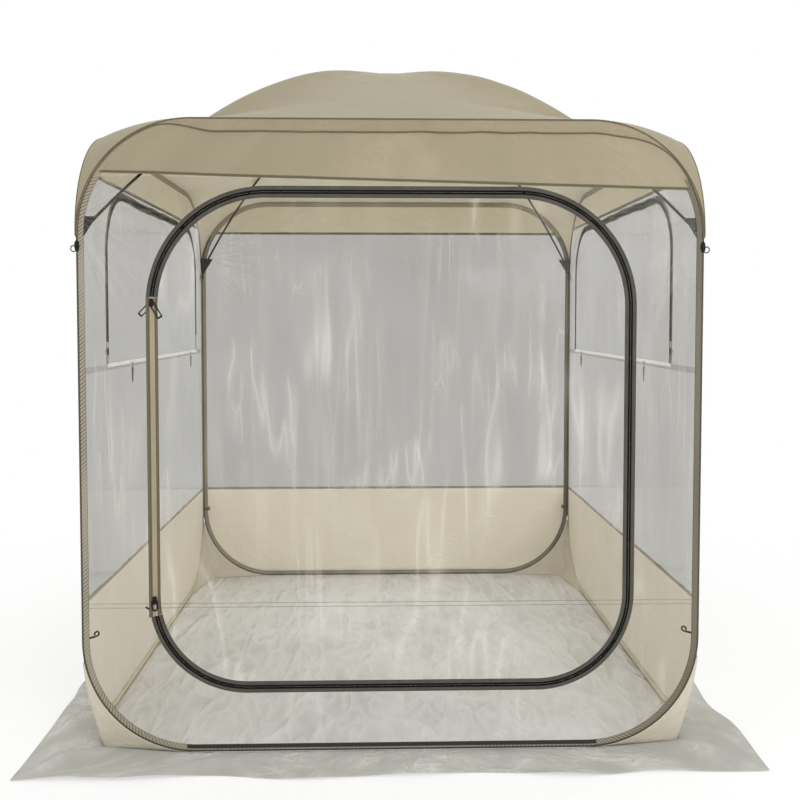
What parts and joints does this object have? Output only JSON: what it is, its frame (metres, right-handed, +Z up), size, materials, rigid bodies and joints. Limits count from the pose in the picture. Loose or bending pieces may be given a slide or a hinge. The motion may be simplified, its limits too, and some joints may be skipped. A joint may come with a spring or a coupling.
{
  "type": "clear tent",
  "caption": "Free-standing clear-walled pop-up tent: four sleeved hoops, film walls, a cloth roof over crossed rods, a zipped door and zipped side windows.",
  "frame": {"origin": "on the ground, under the middle of the floor", "axes": "+Z up, the door faces -Y, +X to the right of someone looking at the door"},
  "size_m": [2.1194, 2.1176, 2.2019],
  "materials": {
    "spring_steel": "bare spring steel band",
    "sleeve_cloth": "woven taupe polyester",
    "roof_cloth": "woven khaki polyester",
    "band_cloth": "woven cream polyester",
    "clear_film": "clear flexible film",
    "zip_cloth": "woven zip tape with a moulded coil",
    "hinge_cloth": "woven binding",
    "seam_cloth": "pale binding",
    "floor_cloth": "coated woven floor",
    "skirt_cloth": "woven ground flap",
    "rod_fibre": "black glass-fibre rod",
    "black_plastic": "moulded black plastic",
    "black_webbing": "stitched black webbing"
  },
  "bodies": {
    "tent": {"back_hoop": "spring_steel", "back_hoop_sleeve": "sleeve_cloth", "back_lower_band": "band_cloth", "back_upper_band": "roof_cloth", "back_wall_film": "clear_film", "corner_gusset_back_left": "band_cloth", "corner_gusset_back_right": "band_cloth", "corner_gusset_front_left": "band_cloth", "corner_gusset_front_right": "band_cloth", "corner_hook_back_left": "black_plastic", "corner_hook_back_right": "black_plastic", "corner_hook_front_left": "black_plastic", "corner_hook_front_right": "black_plastic", "door_zip_frame_tape": "zip_cloth", "floor_sheet": "floor_cloth", "front_hoop": "spring_steel", "front_hoop_sleeve": "sleeve_cloth", "front_upper_band": "roof_cloth", "front_wall_film": "clear_film", "ground_skirt": "skirt_cloth", "left_hoop": "spring_steel", "left_hoop_sleeve": "sleeve_cloth", "left_lower_band": "band_cloth", "left_upper_band": "roof_cloth", "left_wall_film": "clear_film", "left_window_frame_tape": "zip_cloth", "left_window_seam_strip": "seam_cloth", "pole_pocket_back_left": "black_webbing", "pole_pocket_back_right": "black_webbing", "pole_pocket_front_left": "black_webbing", "pole_pocket_front_right": "black_webbing", "right_hoop": "spring_steel", "right_hoop_sleeve": "sleeve_cloth", "right_lower_band": "band_cloth", "right_upper_band": "roof_cloth", "right_wall_film": "clear_film", "right_window_frame_tape": "zip_cloth", "right_window_seam_strip": "seam_cloth", "roof_canopy": "roof_cloth", "roof_pole_a": "rod_fibre", "roof_pole_b": "rod_fibre"},
    "door": {"door_film": "clear_film", "door_hinge_strip": "hinge_cloth", "door_zip_tape": "zip_cloth"},
    "upper_slider": {"upper_slider": "black_plastic"},
    "lower_slider": {"lower_slider": "black_plastic"},
    "upper_outer_pull": {"upper_outer_pull": "black_plastic"},
    "upper_inner_pull": {"upper_inner_pull": "black_plastic"},
    "lower_outer_pull": {"lower_outer_pull": "black_plastic"},
    "lower_inner_pull": {"lower_inner_pull": "black_plastic"},
    "right_window": {"right_window_film": "clear_film", "right_window_zip_tape": "zip_cloth"},
    "right_window_slider": {"right_window_slider": "black_plastic"},
    "left_window": {"left_window_film": "clear_film", "left_window_zip_tape": "zip_cloth"},
    "left_window_slider": {"left_window_slider": "black_plastic"},
    "left_toggle_front": {"left_toggle_front": "black_plastic"},
    "left_toggle_back": {"left_toggle_back": "black_plastic"},
    "right_toggle_front": {"right_toggle_front": "black_plastic"},
    "right_toggle_back": {"right_toggle_back": "black_plastic"}
  },
  "joints": [
    {"name": "door_fold", "type": "hinge", "parent": "tent", "child": "door", "pos_m": [-0.706, -0.9001, 0.9085], "axis": [0, 0, 1], "range_deg": [-150, 0]},
    {"name": "upper_slider_bend", "type": "hinge", "parent": "door", "child": "upper_slider", "pos_m": [-0.361, -0.8979, 1.297], "axis": [0, 1, 0], "range_deg": [0, 87]},
    {"name": "lower_slider_bend", "type": "hinge", "parent": "door", "child": "lower_slider", "pos_m": [-0.421, -0.8979, 0.46], "axis": [0, -1, 0], "range_deg": [0, 87]},
    {"name": "upper_outer_pull_swing", "type": "hinge", "parent": "upper_slider", "child": "upper_outer_pull", "pos_m": [-0.68876, -0.903, 1.30959], "axis": [-0.859, 0, -0.512], "range_deg": [0, 150]},
    {"name": "upper_inner_pull_swing", "type": "hinge", "parent": "upper_slider", "child": "upper_inner_pull", "pos_m": [-0.68876, -0.89435, 1.30959], "axis": [0.7169, 0, -0.6972], "range_deg": [0, 150]},
    {"name": "lower_outer_pull_swing", "type": "hinge", "parent": "lower_slider", "child": "lower_outer_pull", "pos_m": [-0.6888, -0.903, 0.44971], "axis": [-0.9993, 0, -0.0384], "range_deg": [0, 150]},
    {"name": "lower_inner_pull_swing", "type": "hinge", "parent": "lower_slider", "child": "lower_inner_pull", "pos_m": [-0.6888, -0.89435, 0.44971], "axis": [0.859, 0, -0.512], "range_deg": [0, 150]},
    {"name": "right_window_fold", "type": "hinge", "parent": "tent", "child": "right_window", "pos_m": [0.9001, 0, 1.12], "axis": [0, 1, 0], "range_deg": [0, 150]},
    {"name": "left_window_fold", "type": "hinge", "parent": "tent", "child": "left_window", "pos_m": [-0.9001, 0, 1.12], "axis": [0, -1, 0], "range_deg": [0, 150]},
    {"name": "right_window_slider_run", "type": "slide", "parent": "right_window", "child": "right_window_slider", "axis": [0, 0, 1], "range_m": [0, 0.27]},
    {"name": "left_window_slider_run", "type": "slide", "parent": "left_window", "child": "left_window_slider", "axis": [0, 0, 1], "range_m": [0, 0.27]},
    {"name": "left_toggle_front_swing", "type": "hinge", "parent": "tent", "child": "left_toggle_front", "pos_m": [-0.90315, -0.32, 1.11], "axis": [1, 0, 0], "range_deg": [-75, 75]},
    {"name": "left_toggle_back_swing", "type": "hinge", "parent": "tent", "child": "left_toggle_back", "pos_m": [-0.90315, 0.65, 1.11], "axis": [1, 0, 0], "range_deg": [-75, 75]},
    {"name": "right_toggle_front_swing", "type": "hinge", "parent": "tent", "child": "right_toggle_front", "pos_m": [0.90315, -0.32, 1.11], "axis": [1, 0, 0], "range_deg": [-75, 75]},
    {"name": "right_toggle_back_swing", "type": "hinge", "parent": "tent", "child": "right_toggle_back", "pos_m": [0.90315, 0.65, 1.11], "axis": [1, 0, 0], "range_deg": [-75, 75]}
  ]
}
